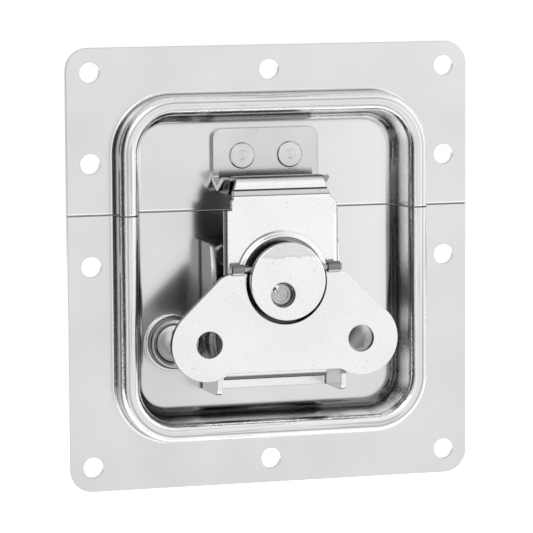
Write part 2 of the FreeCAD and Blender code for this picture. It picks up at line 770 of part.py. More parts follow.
# Draw hook: a folded plate with side guides, a foot lower down between the bracket's walls, a slot
# for the eccentric, a raised collar and a claw
def claw_section():
    lean = "( claw_lean * 1deg )"
    half_turn = "( ( 45 + claw_lean ) / 2 * 1deg )"
    half_lift = "( ( 45 - claw_lean ) / 2 * 1deg )"
    crease_out = f"( {HOOK_FRONT} - claw_step )"
    crease_z = f"( {HOOK_TOP} + claw_step )"
    roof = f"( {KEEPER_LIP_TOP} + claw_rise )"
    nose = f"( {crease_out} + ( {CLAW_CROWN} - {crease_z} ) * tan( {lean} ) )"
    inner_nose = f"( {nose} - hook_sheet * tan( {lean} ) - hook_sheet / cos( {lean} ) )"
    tip = f"( {KEEPER_BOTTOM} + keeper_sheet + claw_drop )"
    bend = "( claw_radius + hook_sheet )"
    return [
        (HOOK_FRONT, f"( {HOOK_TOP} - claw_root )"),
        (HOOK_FRONT, HOOK_TOP, "( hook_fold + hook_sheet )"),
        (crease_out, crease_z),
        (nose, CLAW_CROWN, bend),
        (CLAW_BACK, CLAW_CROWN, bend),
        (CLAW_BACK, tip),
        (f"( {CLAW_BACK} + hook_sheet )", tip),
        (f"( {CLAW_BACK} + hook_sheet )", roof, "claw_radius"),
        (inner_nose, roof, "claw_radius"),
        (f"( {crease_out} - hook_sheet * cos( {half_lift} ) / cos( {half_turn} ) )",
         f"( {crease_z} - hook_sheet * sin( {half_lift} ) / cos( {half_turn} ) )"),
        (HOOK_BACK, f"( {HOOK_TOP} - hook_sheet * tan( 22.5deg ) )", "hook_fold"),
        (HOOK_BACK, f"( {HOOK_TOP} - claw_root )"),
    ]


def make_hook():
    body = new_body("hook_plate")
    half = HOOK_HALF
    inner = f"( {HOOK_HALF} - hook_sheet )"

    # Face and side guides, folded back from it
    guide_back = f"( {HOOK_FRONT} - hook_side_depth )"
    section = new_sketch(body, "section", "XY_Plane", "hook_side_bottom")
    outline(section, [
        (f"0 - {half}", f"0 - {guide_back}"),
        (f"0 - {half}", f"0 - {HOOK_FRONT}", "hook_edge_radius"),
        (half, f"0 - {HOOK_FRONT}", "hook_edge_radius"),
        (half, f"0 - {guide_back}"),
        (inner, f"0 - {guide_back}"),
        (inner, f"0 - {HOOK_BACK}"),
        (f"0 - {inner}", f"0 - {HOOK_BACK}"),
        (f"0 - {inner}", f"0 - {guide_back}"),
    ])
    pad(body, "face", section, f"( {HOOK_SHOULDER} - hook_side_bottom )")
    neck_left = f"( hook_left_step - {half} )"
    neck_right = f"( {half} - hook_right_step )"
    neck_top = f"( {HOOK_TOP} - ( hook_fold + hook_sheet ) * tan( 22.5deg ) )"
    front_plate(body, "neck", [
        (neck_left, f"( {HOOK_SHOULDER} - hook_sheet )"),
        (neck_left, neck_top, "hook_left_corner"),
        (neck_right, neck_top, "hook_right_corner"),
        (neck_right, f"( {HOOK_SHOULDER} - hook_sheet )"),
    ], HOOK_BACK, "hook_sheet")

    # Foot, stepped back from the face's lower end
    foot_front = f"( {HOOK_FRONT} - foot_back_step )"
    foot_back = f"( {foot_front} - hook_sheet )"
    side_strip(body, "foot", [
        (HOOK_FRONT, "( hook_side_bottom + 2 * hook_sheet )"),
        (HOOK_FRONT, "hook_side_bottom"),
        (foot_front, "hook_side_bottom"),
        (foot_front, "foot_bottom", "foot_edge"),
        (foot_back, "foot_bottom"),
        (foot_back, "( hook_side_bottom + hook_sheet )"),
        (HOOK_BACK, "( hook_side_bottom + hook_sheet )"),
        (HOOK_BACK, "( hook_side_bottom + 2 * hook_sheet )"),
    ], f"2 * ( {HOOK_HALF} - foot_step )")

    # Claw: folds back from the face, arches over the keeper's lip and drops behind it, narrower
    # towards its crown
    claw_half = f"( {HOOK_HALF} - claw_side_step )"
    side_strip(body, "claw", claw_section(), f"2 * {claw_half}")
    rise = f"( {CLAW_CROWN} - {HOOK_TOP} )"
    lean = f"( claw_taper * ( {rise} + hook_sheet ) / {rise} )"
    for number, hand in enumerate(("0 -", "0 +")):
        taper = new_sketch(body, f"taper{number}_outline", "XZ_Plane", HOOK_FRONT)
        outline(taper, [
            (f"{hand} {claw_half}", HOOK_TOP),
            (f"{hand} ( {claw_half} - {lean} )", f"( {CLAW_CROWN} + hook_sheet )"),
            (f"{hand} ( {claw_half} + hook_sheet )", f"( {CLAW_CROWN} + hook_sheet )"),
            (f"{hand} ( {claw_half} + hook_sheet )", HOOK_TOP),
        ])
        pocket(body, f"taper{number}", taper, f"( {HOOK_FRONT} - {CLAW_BACK} + hook_sheet )")

    # Collar round the disc's place at rest, and the slot for the eccentric
    collar_inner = "( collar_radius - collar_width )"
    collar_front = f"( {HOOK_FRONT} + collar_height )"
    ring = new_sketch(body, "collar_section", "YZ_Plane", DISC_X)
    bind(ring, "AttachmentOffset.Base.y", DISC_Z)
    outline(ring, [
        (f"0 - {HOOK_BACK}", collar_inner),
        (f"0 - {HOOK_BACK}", "collar_radius"),
        (f"0 - {HOOK_FRONT}", "collar_radius"),
        (f"0 - {collar_front}", "( collar_radius - collar_slope )"),
        (f"0 - {collar_front}", collar_inner),
    ])
    doc.recompute()
    collar = body.newObject("PartDesign::Revolution", "hook_plate_collar")
    collar.Profile = ring
    collar.ReferenceAxis = (ring, ["H_Axis"])
    collar.Angle = 360
    body.Tip = collar
    # The hook rises evenly with the turn while the eccentric rises as a circle does; rise_error is
    # the most they differ by, as a share of the eccentric's offset
    slot_high = "( drum_radius + slot_gap + rise_error * drum_offset )"
    slot_wide = "( drum_radius + slot_gap + drum_offset )"
    slot = new_sketch(body, "slot_outline", "XZ_Plane")
    outline(slot, [
        (f"pivot_x - {slot_wide}", f"{DRUM_Z} - {slot_high}", "drum_radius"),
        (f"pivot_x - {slot_wide}", f"{DRUM_Z} + {slot_high}", "drum_radius"),
        (f"pivot_x + {slot_wide}", f"{DRUM_Z} + {slot_high}", "drum_radius"),
        (f"pivot_x + {slot_wide}", f"{DRUM_Z} - {slot_high}", "drum_radius"),
    ])
    pocket(body, "slot", slot)
    return body


hook_plate = make_hook()


# Hinge pin: through the neck under the disc into the wing's knuckles, with a head at each end
def make_pin():
    body = new_body("hinge_pin")
    end = "( knuckle_inner + knuckle_length + running_gap )"
    shank = new_sketch(body, "shank_circle", "YZ_Plane")
    circle(shank, f"0 - {HINGE_OUT}", "hinge_z", "pin_radius")
    pad(body, "shank", shank, f"2 * {end}", both_ways=True)
    for number, side in enumerate((-1, 1)):
        start = f"( {side} * {end} + {min(side, 0)} * pin_head_length )"
        head = new_sketch(body, f"head{number}_circle", "YZ_Plane", start)
        circle(head, f"0 - {HINGE_OUT}", "hinge_z", "pin_head_radius")
        pad(body, f"head{number}", head, "pin_head_length")
    return body


hinge_pin = make_pin()


# Butterfly wing: two drilled ears, a cut-out round the disc and a knuckle each side of it
def make_wing():
    body = new_body("butterfly_wing")
    lean = "( wing_slope * 1deg )"
    touch_x = f"( ear_x + ear_radius * sin( {lean} ) )"
    touch_z = f"( ear_z + ear_radius * cos( {lean} ) )"
    top_x = f"( {touch_x} - ( wing_top - {touch_z} ) / tan( {lean} ) )"
    corners = [
        (top_x, "wing_top", "wing_corner"),
        (touch_x, touch_z),
        ("ear_x", "ear_z"),
        ("ear_x", "wing_bottom"),
    ]
    mirrored = [(f"0 - {x}", z) + tuple(bend) for x, z, *bend in reversed(corners)]
    front_plate(body, "plate", corners + mirrored, WING_BACK, "wing_sheet")
    front_discs(body, "ears", [("0 - ear_x", "ear_z"), ("ear_x", "ear_z")], "ear_radius",
                WING_BACK, "wing_sheet")
    dip = "( ear_z - wing_bottom )"
    joint_x = f"( ear_x - sqrt( ear_radius * ear_radius - {dip} * {dip} ) )"
    joints = [place(f"{side} * {joint_x}", WING_BACK, "wing_bottom") for side in (-1, 1)]
    round_edges(body, "blends", ALONG_Y, joints, "wing_blend")
    cut_out = (f"( {DISC_X} + cut_out_shift )", f"( {DISC_Z} - cut_out_drop )")
    front_holes(body, "cut_out", [cut_out], "( disc_radius + wing_gap )")
    hole_x = "( ear_x - ear_hole_shift )"
    front_holes(body, "ear_holes", [(f"0 - {hole_x}", "ear_z"), (hole_x, "ear_z")], "ear_hole_radius")
    for number, side in enumerate((-1, 1)):
        start = f"( {side} * knuckle_inner + {min(side, 0)} * knuckle_length )"
        roll = new_sketch(body, f"knuckle{number}_circle", "YZ_Plane", start)
        circle(roll, f"0 - {HINGE_OUT}", "hinge_z", "knuckle_radius")
        pad(body, f"knuckle{number}", roll, "knuckle_length")
    pin_hole = new_sketch(body, "pin_hole_circle", "YZ_Plane")
    circle(pin_hole, f"0 - {HINGE_OUT}", "hinge_z", "( pin_radius + running_gap )")
    pocket(body, "pin_hole", pin_hole)
    return body


butterfly_wing = make_wing()


# Key lock: a barrel through the lower floor with a nut, and a plug that turns a tongue behind
LOCK_SEAT = f"( {FLOOR_FRONT} + lock_seat_height )"
LOCK_FACE = f"( {FLOOR_FRONT} + lock_rim_height )"
LOCK_REAR = f"( {FLOOR_FRONT} - lock_barrel_back )"


def make_lock_body():
    body = new_body("lock_body", LOCK_X, "lock_z")
    bore = "( plug_radius + running_gap )"
    turned(body, "barrel", [
        (LOCK_REAR, bore),
        (LOCK_REAR, "lock_thread_radius"),
        (FLOOR_FRONT, "lock_thread_radius"),
        (FLOOR_FRONT, "lock_seat_radius"),
        (LOCK_SEAT, "lock_seat_radius", "lock_seat_edge"),
        (LOCK_SEAT, "lock_rim_radius"),
        (LOCK_FACE, "lock_rim_radius", "lock_rim_edge"),
        (LOCK_FACE, "( plug_radius + plug_funnel )"),
        (f"( {LOCK_FACE} - plug_recess )", bore),
    ])
    return body


def make_lock_nut():
    body = new_body("lock_nut", LOCK_X, "lock_z")
    corners = []
    for number in range(6):
        turn = f"( {60 * number} * 1deg )"
        corners.append((f"( nut_radius * cos( {turn} ) )", f"( nut_radius * sin( {turn} ) )"))
    front_plate(body, "hexagon", corners, f"( {FLOOR_BACK} - nut_height )", "nut_height")
    front_holes(body, "thread", [("0", "0")], "( lock_thread_radius + rivet_gap )")
    return body


def make_lock_plug():
    body = new_body("lock_plug", LOCK_X, "lock_z")
    face = f"( {LOCK_FACE} - plug_recess )"
    turned(body, "plug", [
        (LOCK_REAR, "0"),
        (LOCK_REAR, "plug_radius"),
        (f"( {face} - plug_chamfer )", "plug_radius"),
        (face, "( plug_radius - plug_chamfer )"),
        (face, "0"),
    ])
    key_slot = new_sketch(body, "key_slot_outline", "XZ_Plane", face)
    outline(key_slot, [
        ("0 - key_slot_width / 2", "0 - key_slot_height / 2"),
        ("key_slot_width / 2", "0 - key_slot_height / 2"),
        ("key_slot_width / 2", "key_slot_height / 2"),
        ("0 - key_slot_width / 2", "key_slot_height / 2"),
    ])
    pocket(body, "key_slot", key_slot, "key_slot_depth")
    half = "tail_width / 2"
    front_plate(body, "tail", [
        (f"0 - {half}", f"0 - {half}"),
        (half, f"0 - {half}"),
        (half, half),
        (f"0 - {half}", half),
    ], f"( {LOCK_REAR} - tail_length )", "( tail_length + tail_root )")
    threaded = new_sketch(body, "screw_hole_circle", "XZ_Plane",
                          f"( {LOCK_REAR} - tail_length + screw_hole_depth )")
    circle(threaded, "0", "0", "( screw_radius + rivet_gap )")
    pocket(body, "screw_hole", threaded, "( screw_hole_depth + tail_length )")
    return body


def make_lock_tongue():
    body = new_body("lock_tongue", LOCK_X, "lock_z")
    half = "tongue_width / 2"
    front_plate(body, "tongue", [
        (f"0 - {half}", f"0 - {half}", "tongue_heel_corner"),
        (half, f"0 - {half}", "tongue_heel_corner"),
        (half, f"( tongue_length - {half} )", "tongue_tip_corner"),
        (f"0 - {half}", f"( tongue_length - {half} )", "tongue_tip_corner"),
    ], f"( {LOCK_REAR} - tail_length )", "tail_length")
    square = new_sketch(body, "square_outline", "XZ_Plane")
    side = "( tail_width / 2 + rivet_gap )"
    outline(square, [
        (f"0 - {side}", f"0 - {side}"),
        (side, f"0 - {side}"),
        (side, side),
        (f"0 - {side}", side),
    ])
    pocket(body, "square", square)
    return body


def make_lock_screw():
    body = new_body("lock_screw", LOCK_X, "lock_z")
    seat = f"( {LOCK_REAR} - tail_length )"
    turned(body, "screw", [
        (f"( {seat} - screw_head_height )", "0"),
        (f"( {seat} - screw_head_height )", "( screw_head_radius - screw_chamfer )"),
        (f"( {seat} - screw_head_height + screw_chamfer )", "screw_head_radius"),
        (seat, "screw_head_radius"),
        (seat, "screw_radius"),
        (f"( {seat} + screw_length )", "screw_radius"),
        (f"( {seat} + screw_length )", "0"),
    ])
    return body


lock_body = make_lock_body()
lock_nut = make_lock_nut()
lock_plug = make_lock_plug()
lock_tongue = make_lock_tongue()
lock_screw = make_lock_screw()

SUB_PARTS = [
    upper_dish, lower_dish, keeper_plate, keeper_rivets, base_bracket, bracket_rivets,
    pivot_rivet, friction_washer, cam_drum, cam_disc, hook_plate, hinge_pin, butterfly_wing,
    lock_body, lock_nut, lock_plug, lock_tongue, lock_screw,
]


# Checks before anything is written
def check_document():
    doc.recompute()
    for item in doc.Objects:
        if "Invalid" in item.State or "Error" in item.State:
            raise ValueError(f"{item.Name} failed: {item.State}")
        if item.isDerivedFrom("PartDesign::Pocket"):
            removed = item.BaseFeature.Shape.Volume - item.Shape.Volume
            if removed < 0.01:
                raise ValueError(f"{item.Name} cuts nothing")
    for part in SUB_PARTS:
        if part.Shape.isNull() or not part.Shape.isValid():
            raise ValueError(f"{part.Label} has no valid shape")


check_document()
os.makedirs("parts", exist_ok=True)
for part in SUB_PARTS:
    part.Shape.exportStep(f"parts/{part.Label}.step")
    print(f"{part.Label}: {len(part.Shape.Solids)} solids, {part.Shape.Volume:.1f} mm3")
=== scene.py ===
import math

import bmesh
import bpy
from mathutils import Matrix, Vector

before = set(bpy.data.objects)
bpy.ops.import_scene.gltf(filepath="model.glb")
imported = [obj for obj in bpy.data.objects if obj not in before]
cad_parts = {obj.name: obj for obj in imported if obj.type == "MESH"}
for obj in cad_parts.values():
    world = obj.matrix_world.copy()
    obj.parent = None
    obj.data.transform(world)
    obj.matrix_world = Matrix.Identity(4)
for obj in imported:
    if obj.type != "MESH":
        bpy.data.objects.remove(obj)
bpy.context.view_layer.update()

MM = 0.001

# Places on the latch, in metres: the front of the latch faces -Y and up is +Z
CAM_CENTRE = Vector((-1.35, 0.0, -5.9)) * MM
DISC_CENTRE = Vector((0.0, 0.0, -2.68)) * MM
LOCK_CENTRE = Vector((-23.6, 0.0, -18.6)) * MM
KEEPER_RIVET_CENTRE = Vector((6.1, 0.0, 26.6)) * MM
HEAD_BRIGHT_PATCH = Vector((-3.1, 0.0, -4.2)) * MM
# centre of the painted shade behind the right ear's hole
EAR_SHADE_CENTRE = Vector((24.6, 0.0, -19.3)) * MM
EARS_Z = -18.5 * MM
SEAM_Z = 13.4 * MM
HOOK_FOLD_Z = 17.8 * MM
HOOK_CREASE_Z = 19.1 * MM

# The rim, measured outwards from the centres of its corners
RIM_CORNER = Vector((25.2, 0.0, 28.05)) * MM
RIM_CREST = 11.7 * MM
# radius of a painted shade line round the rim
RIM_SHADE_LINE = 12.25 * MM
RIM_FOOT = 14.05 * MM

# Radii round the disc and round the lock
# radius of a painted highlight ring round the disc
SHEEN_RING = 9.75 * MM
CAM_WELL = 10.45 * MM
COLLAR_GROOVE = 10.95 * MM
COLLAR_FOOT = 11.75 * MM
LOCK_PLUG_GROOVE = 4.75 * MM
LOCK_RIM_GROOVE = 6.15 * MM

# Sharp edges of sheet: how far they are softened, and how wide their wear and painted shade are
EDGE_RADIUS = 0.2 * MM
EDGE_WEAR_AND_SHADE_WIDTH = 0.3 * MM

# The room's tones as the metal mirrors them, from far left to far right and from below to above
ROOM_ACROSS = [
    (0.0, 0.05), (0.10, 0.04), (0.15, 0.42), (0.235, 0.86), (0.315, 1.0), (0.60, 1.0), (0.63, 0.92),
    (0.66, 1.0), (1.0, 1.0)]
ROOM_UPWARD = [
    (0.0, 0.95), (0.08, 0.9), (0.14, 0.60), (0.18, 0.60), (0.24, 0.98), (0.34, 0.98), (0.40, 0.90),
    (0.48, 0.95), (0.6, 1.0), (0.80, 0.97), (0.88, 0.80), (0.94, 0.60), (1.0, 0.75)]
ROOM_BEHIND = 0.55
ROOM_STRENGTH = 1.12


# Camera, at the angle the latch was photographed from
def place_camera():
    azimuth = math.radians(-17.68)
    elevation = math.radians(6.02)
    roll = math.radians(-0.34)
    distance = 0.8878
    target = Vector((-0.00089, -0.0012, -0.00047))
    turn = (Matrix.Rotation(azimuth, 4, "Z")
            @ Matrix.Rotation(math.radians(90) - elevation, 4, "X")
            @ Matrix.Rotation(roll, 4, "Z"))
    data = bpy.data.cameras.new("camera")
    data.sensor_width = 36.0
    data.lens = 246.1
    data.clip_start = 0.05
    data.clip_end = 20.0
    camera = bpy.data.objects.new("camera", data)
    camera.matrix_world = Matrix.Translation(target + turn.to_3x3() @ Vector((0, 0, distance))) @ turn
    bpy.context.scene.collection.objects.link(camera)
    bpy.context.scene.camera = camera


# Small helpers for node trees
def add(tree, kind, **settings):
    """A new node with its settings made."""
    node = tree.nodes.new(kind)
    for name, setting in settings.items():
        setattr(node, name, setting)
    return node


def wire(tree, source, target):
    """Feed a socket from another socket, or set it to a plain value."""
    if isinstance(source, bpy.types.NodeSocket):
        tree.links.new(source, target)
    else:
        target.default_value = source


def math_node(tree, operation, first, second=0.0):
    """One sum on one or two values."""
    node = add(tree, "ShaderNodeMath", operation=operation)
    wire(tree, first, node.inputs[0])
    wire(tree, second, node.inputs[1])
    return node.outputs[0]


def times(tree, first, second):
    return math_node(tree, "MULTIPLY", first, second)


def plus(tree, first, second):
    return math_node(tree, "ADD", first, second)


def minus(tree, first, second):
    return math_node(tree, "SUBTRACT", first, second)


def larger(tree, first, second):
    return math_node(tree, "MAXIMUM", first, second)


def unsigned(tree, value):
    return math_node(tree, "ABSOLUTE", value)


def spread(tree, source, from_low, from_high, to_low, to_high):
    """Carry a value from one range to another, held at the ends."""
    node = add(tree, "ShaderNodeMapRange")
    wire(tree, source, node.inputs["Value"])
    wire(tree, from_low, node.inputs["From Min"])
    wire(tree, from_high, node.inputs["From Max"])
    wire(tree, to_low, node.inputs["To Min"])
    wire(tree, to_high, node.inputs["To Max"])
    return node.outputs["Result"]


def blend_colour(tree, amount, first, second):
    """Mix two colours by a mask."""
    node = add(tree, "ShaderNodeMix", data_type="RGBA")
    wire(tree, amount, node.inputs["Factor"])
    wire(tree, first, node.inputs[6])
    wire(tree, second, node.inputs[7])
    return node.outputs[2]


def grey(level):
    """A grey colour of one level."""
    return (level, level, level, 1.0)


def new_group(name, inputs, outputs):
    """An empty shader node group with named sockets."""
    tree = bpy.data.node_groups.new(name, "ShaderNodeTree")
    for label, kind, start in inputs:
        socket = tree.interface.new_socket(label, in_out="INPUT", socket_type=kind)
        socket.default_value = start
    for label, kind in outputs:
        tree.interface.new_socket(label, in_out="OUTPUT", socket_type=kind)
    return tree, add(tree, "NodeGroupInput").outputs, add(tree, "NodeGroupOutput").inputs


def use_group(tree, group, **values):
    """Place a group in a material and give its inputs their values."""
    node = add(tree, "ShaderNodeGroup", node_tree=group)
    for label, given in values.items():
        wire(tree, given, node.inputs[label.replace("_", " ")])
    return node.outputs


# Plating grain: a fine irregular grain, which can be drawn out along one axis
def make_plating_grain():
    tree, given, out = new_group(
        "plating grain",
        [("Grain Size", "NodeSocketFloat", 0.3), ("Stretch", "NodeSocketVector", (1.0, 1.0, 1.0)),
         ("Detail", "NodeSocketFloat", 3.0)],
        [("Grain", "NodeSocketFloat")])
    place = add(tree, "ShaderNodeTexCoord").outputs["Object"]
    scale = add(tree, "ShaderNodeVectorMath", operation="MULTIPLY")
    wire(tree, place, scale.inputs[0])
    wire(tree, given["Stretch"], scale.inputs[1])
    noise = add(tree, "ShaderNodeTexNoise")
    wire(tree, scale.outputs[0], noise.inputs["Vector"])
    wire(tree, math_node(tree, "DIVIDE", 1000.0, given["Grain Size"]), noise.inputs["Scale"])
    wire(tree, given["Detail"], noise.inputs["Detail"])
    wire(tree, noise.outputs["Fac"], out["Grain"])
    return tree


# Cloudy plating: slow changes in how bright and how smooth the plating came out
def make_plating_cloud():
    tree, given, out = new_group(
        "plating cloud",
        [("Cloud Size", "NodeSocketFloat", 14.0)],
        [("Cloud", "NodeSocketFloat")])
    place = add(tree, "ShaderNodeTexCoord").outputs["Object"]
    noise = add(tree, "ShaderNodeTexNoise")
    wire(tree, place, noise.inputs["Vector"])
    wire(tree, math_node(tree, "DIVIDE", 1000.0, given["Cloud Size"]), noise.inputs["Scale"])
    wire(tree, 2.5, noise.inputs["Detail"])
    wire(tree, 0.55, noise.inputs["Roughness"])
    wire(tree, spread(tree, noise.outputs["Fac"], 0.3, 0.7, 0.0, 1.0), out["Cloud"])
    return tree


# Edge wear and shade: a mask that is high where the surface turns sharply, used for glossier worn edges
# and for painted shade along them
def make_edge_wear_and_shade():
    tree, given, out = new_group(
        "edge wear and shade",
        [("Width", "NodeSocketFloat", 0.00025), ("Sharpness", "NodeSocketFloat", 0.12)],
        [("Edge", "NodeSocketFloat")])
    bevel = add(tree, "ShaderNodeBevel", samples=6)
    wire(tree, given["Width"], bevel.inputs["Radius"])
    flat = add(tree, "ShaderNodeNewGeometry").outputs["Normal"]
    match = add(tree, "ShaderNodeVectorMath", operation="DOT_PRODUCT")
    wire(tree, bevel.outputs["Normal"], match.inputs[0])
    wire(tree, flat, match.inputs[1])
    turned_away = minus(tree, 1.0, match.outputs["Value"])
    wire(tree, spread(tree, turned_away, 0.0, given["Sharpness"], 0.0, 1.0), out["Edge"])
    return tree


# Handling scratches: long thin hairlines along one turned direction
def make_hairlines():
    tree, given, out = new_group(
        "hairlines",
        [("Spacing", "NodeSocketFloat", 1.2), ("Turn", "NodeSocketVector", (0.0, 0.6, 0.0))],
        [("Line", "NodeSocketFloat")])
    place = add(tree, "ShaderNodeTexCoord").outputs["Object"]
    turned = add(tree, "ShaderNodeMapping")
    wire(tree, place, turned.inputs["Vector"])
    wire(tree, given["Turn"], turned.inputs["Rotation"])
    squeeze = add(tree, "ShaderNodeVectorMath", operation="MULTIPLY")
    wire(tree, turned.outputs[0], squeeze.inputs[0])
    wire(tree, (0.06, 1.0, 1.0), squeeze.inputs[1])
    noise = add(tree, "ShaderNodeTexNoise")
    wire(tree, squeeze.outputs[0], noise.inputs["Vector"])
    wire(tree, math_node(tree, "DIVIDE", 1000.0, given["Spacing"]), noise.inputs["Scale"])
    wire(tree, 1.0, noise.inputs["Detail"])
    middle = unsigned(tree, minus(tree, noise.outputs["Fac"], 0.5))
    wire(tree, spread(tree, middle, 0.0, 0.012, 1.0, 0.0), out["Line"])
    return tree


# Turned rings: the marks a tool leaves round a centre, inside a given radius
def make_turned_rings():
    tree, given, out = new_group(
        "turned rings",
        [("Centre", "NodeSocketVector", (0.0, 0.0, 0.0)), ("Pitch", "NodeSocketFloat", 0.0007),
         ("Reach", "NodeSocketFloat", 0.003), ("Both Sides", "NodeSocketFloat", 0.0)],
        [("Ring", "NodeSocketFloat"), ("Inside", "NodeSocketFloat"), ("Radius", "NodeSocketFloat")])
    place = add(tree, "ShaderNodeTexCoord").outputs["Object"]
    mirrored = add(tree, "ShaderNodeVectorMath", operation="ABSOLUTE")
    wire(tree, place, mirrored.inputs[0])
    chosen = add(tree, "ShaderNodeMix", data_type="VECTOR")
    wire(tree, given["Both Sides"], chosen.inputs["Factor"])
    wire(tree, place, chosen.inputs[4])
    wire(tree, mirrored.outputs[0], chosen.inputs[5])
    level = add(tree, "ShaderNodeVectorMath", operation="MULTIPLY")
    wire(tree, chosen.outputs[1], level.inputs[0])
    wire(tree, (1.0, 0.0, 1.0), level.inputs[1])
    radius = add(tree, "ShaderNodeVectorMath", operation="DISTANCE")
    wire(tree, level.outputs[0], radius.inputs[0])
    wire(tree, given["Centre"], radius.inputs[1])
    waves = math_node(tree, "DIVIDE", radius.outputs["Value"], given["Pitch"])
    ring = math_node(tree, "SINE", times(tree, waves, 2 * math.pi))
    wire(tree, spread(tree, ring, -1.0, 1.0, 0.0, 1.0), out["Ring"])
    wire(tree, math_node(tree, "LESS_THAN", radius.outputs["Value"], given["Reach"]), out["Inside"])
    wire(tree, radius.outputs["Value"], out["Radius"])
    return tree


# Thin line: a mask that is high close to one value, such as a height
def make_thin_line():
    tree, given, out = new_group(
        "thin line",
        [("Value", "NodeSocketFloat", 0.0), ("At", "NodeSocketFloat", 0.0),
         ("Half Width", "NodeSocketFloat", 0.0001)],
        [("Line", "NodeSocketFloat")])
    gap = unsigned(tree, minus(tree, given["Value"], given["At"]))
    share = math_node(tree, "DIVIDE", gap, given["Half Width"])
    wire(tree, spread(tree, share, 0.6, 1.2, 1.0, 0.0), out["Line"])
    return tree


# Drawn streaks: an uneven value that changes across a course and hardly along it
def make_drawn_streaks():
    tree, given, out = new_group(
        "drawn streaks",
        [("Across", "NodeSocketFloat", 0.0), ("Along", "NodeSocketFloat", 0.0),
         ("Width", "NodeSocketFloat", 1.0), ("Detail", "NodeSocketFloat", 1.0)],
        [("Streak", "NodeSocketFloat")])
    course = add(tree, "ShaderNodeCombineXYZ")
    wire(tree, given["Across"], course.inputs["X"])
    wire(tree, given["Along"], course.inputs["Y"])
    noise = add(tree, "ShaderNodeTexNoise")
    wire(tree, course.outputs[0], noise.inputs["Vector"])
    wire(tree, math_node(tree, "DIVIDE", 1000.0, given["Width"]), noise.inputs["Scale"])
    wire(tree, given["Detail"], noise.inputs["Detail"])
    wire(tree, noise.outputs["Fac"], out["Streak"])
    return tree


GRAIN = make_plating_grain()
CLOUD = make_plating_cloud()
EDGES = make_edge_wear_and_shade()
HAIRLINES = make_hairlines()
RINGS = make_turned_rings()
THIN_LINE = make_thin_line()
STREAKS = make_drawn_streaks()


def own_place(tree):
    """Where a point lies on its piece, as three values."""
    parts = add(tree, "ShaderNodeSeparateXYZ")
    wire(tree, add(tree, "ShaderNodeTexCoord").outputs["Object"], parts.inputs[0])
    return parts.outputs


def own_normal(tree):
    """Which way a point of the piece faces, as three values."""
    parts = add(tree, "ShaderNodeSeparateXYZ")
    wire(tree, add(tree, "ShaderNodeTexCoord").outputs["Normal"], parts.inputs[0])
    return parts.outputs


def facing(tree, axis, low, high, to_low, to_high):
    """A mask of how squarely a point faces along an axis, either way."""
    return spread(tree, unsigned(tree, own_normal(tree)[axis]), low, high, to_low, to_high)


def front_side(tree):
    """A mask of what faces the front or sideways, not the back."""
    return spread(tree, own_normal(tree)["Y"], 0.0, 0.1, 1.0, 0.0)


def thin_line(tree, value, at, half_width):
    """A mask that is high where a value comes close to one measure."""
    return use_group(tree, THIN_LINE, Value=value, At=at, Half_Width=half_width)["Line"]


def round_from(tree, centre):
    """How far a point lies from a centre, seen straight from the front."""
    return use_group(tree, RINGS, Centre=centre)["Radius"]


def inside_circle(tree, centre, reach):
    """A mask of what lies within a circle, seen from the front."""
    return use_group(tree, RINGS, Centre=centre, Reach=reach)["Inside"]


def darken(tree, colour, mask, level):
    """Bring a colour down to a grey level where a mask is high."""
    return blend_colour(tree, mask, colour, grey(level))


def metal_base(name, edge_radius):
    """A metal whose sharp edges are softened by a small radius."""
    material = bpy.data.materials.new(name)
    material.use_nodes = True
    tree = material.node_tree
    shader = tree.nodes["Principled BSDF"]
    shader.inputs["Metallic"].default_value = 1.0
    soft = add(tree, "ShaderNodeBevel", samples=6)
    soft.inputs["Radius"].default_value = edge_radius
    return material, tree, shader, soft.outputs["Normal"]


def relief(tree, height, depth, normal):
    """Lay a relief of a real depth over a normal."""
    bump = add(tree, "ShaderNodeBump")
    bump.inputs["Strength"].default_value = 1.0
    bump.inputs["Distance"].default_value = depth
    wire(tree, height, bump.inputs["Height"])
    wire(tree, normal, bump.inputs["Normal"])
    return bump.outputs["Normal"]


def plated_sheet(name, tones, edge_shade_tone, roughness, grain_size, grain_depth, marks=None):
    """Plated sheet steel: cloudy plating, a fine grain, hairlines, and edges glossier from wear and
    painted darker as shade.
    """
    dullest, brightest = tones
    material, tree, shader, normal = metal_base(name, EDGE_RADIUS)
    cloud = use_group(tree, CLOUD, Cloud_Size=16.0)["Cloud"]
    grain = use_group(tree, GRAIN, Grain_Size=grain_size)["Grain"]
    edge = use_group(tree, EDGES, Width=EDGE_WEAR_AND_SHADE_WIDTH)["Edge"]
    line = use_group(tree, HAIRLINES, Spacing=1.6)["Line"]
    body = blend_colour(tree, cloud, grey(dullest), grey(brightest))
    speckled = blend_colour(tree, spread(tree, grain, 0.35, 0.65, 0.0, 0.30), body, grey(dullest * 0.8))
    scored = blend_colour(tree, times(tree, line, 0.05), speckled, grey(0.95))
    specks = use_group(tree, GRAIN, Grain_Size=1.5, Detail=4.0)["Grain"]
    specked = blend_colour(tree, spread(tree, specks, 0.66, 0.72, 0.0, 0.28), scored,
                           grey(dullest * 0.55))
    # edges painted darker as shade
    edged = blend_colour(tree, edge, specked, grey(edge_shade_tone))
    wire(tree, marks(tree, edged) if marks else edged, shader.inputs["Base Color"])
    unevenness = plus(tree, times(tree, cloud, 0.6), times(tree, grain, 0.4))
    gloss = spread(tree, unevenness, 0.2, 0.8, *roughness)
    wire(tree, minus(tree, gloss, times(tree, edge, 0.08)), shader.inputs["Roughness"])
    wire(tree, relief(tree, grain, grain_depth, normal), shader.inputs["Normal"])
    return material


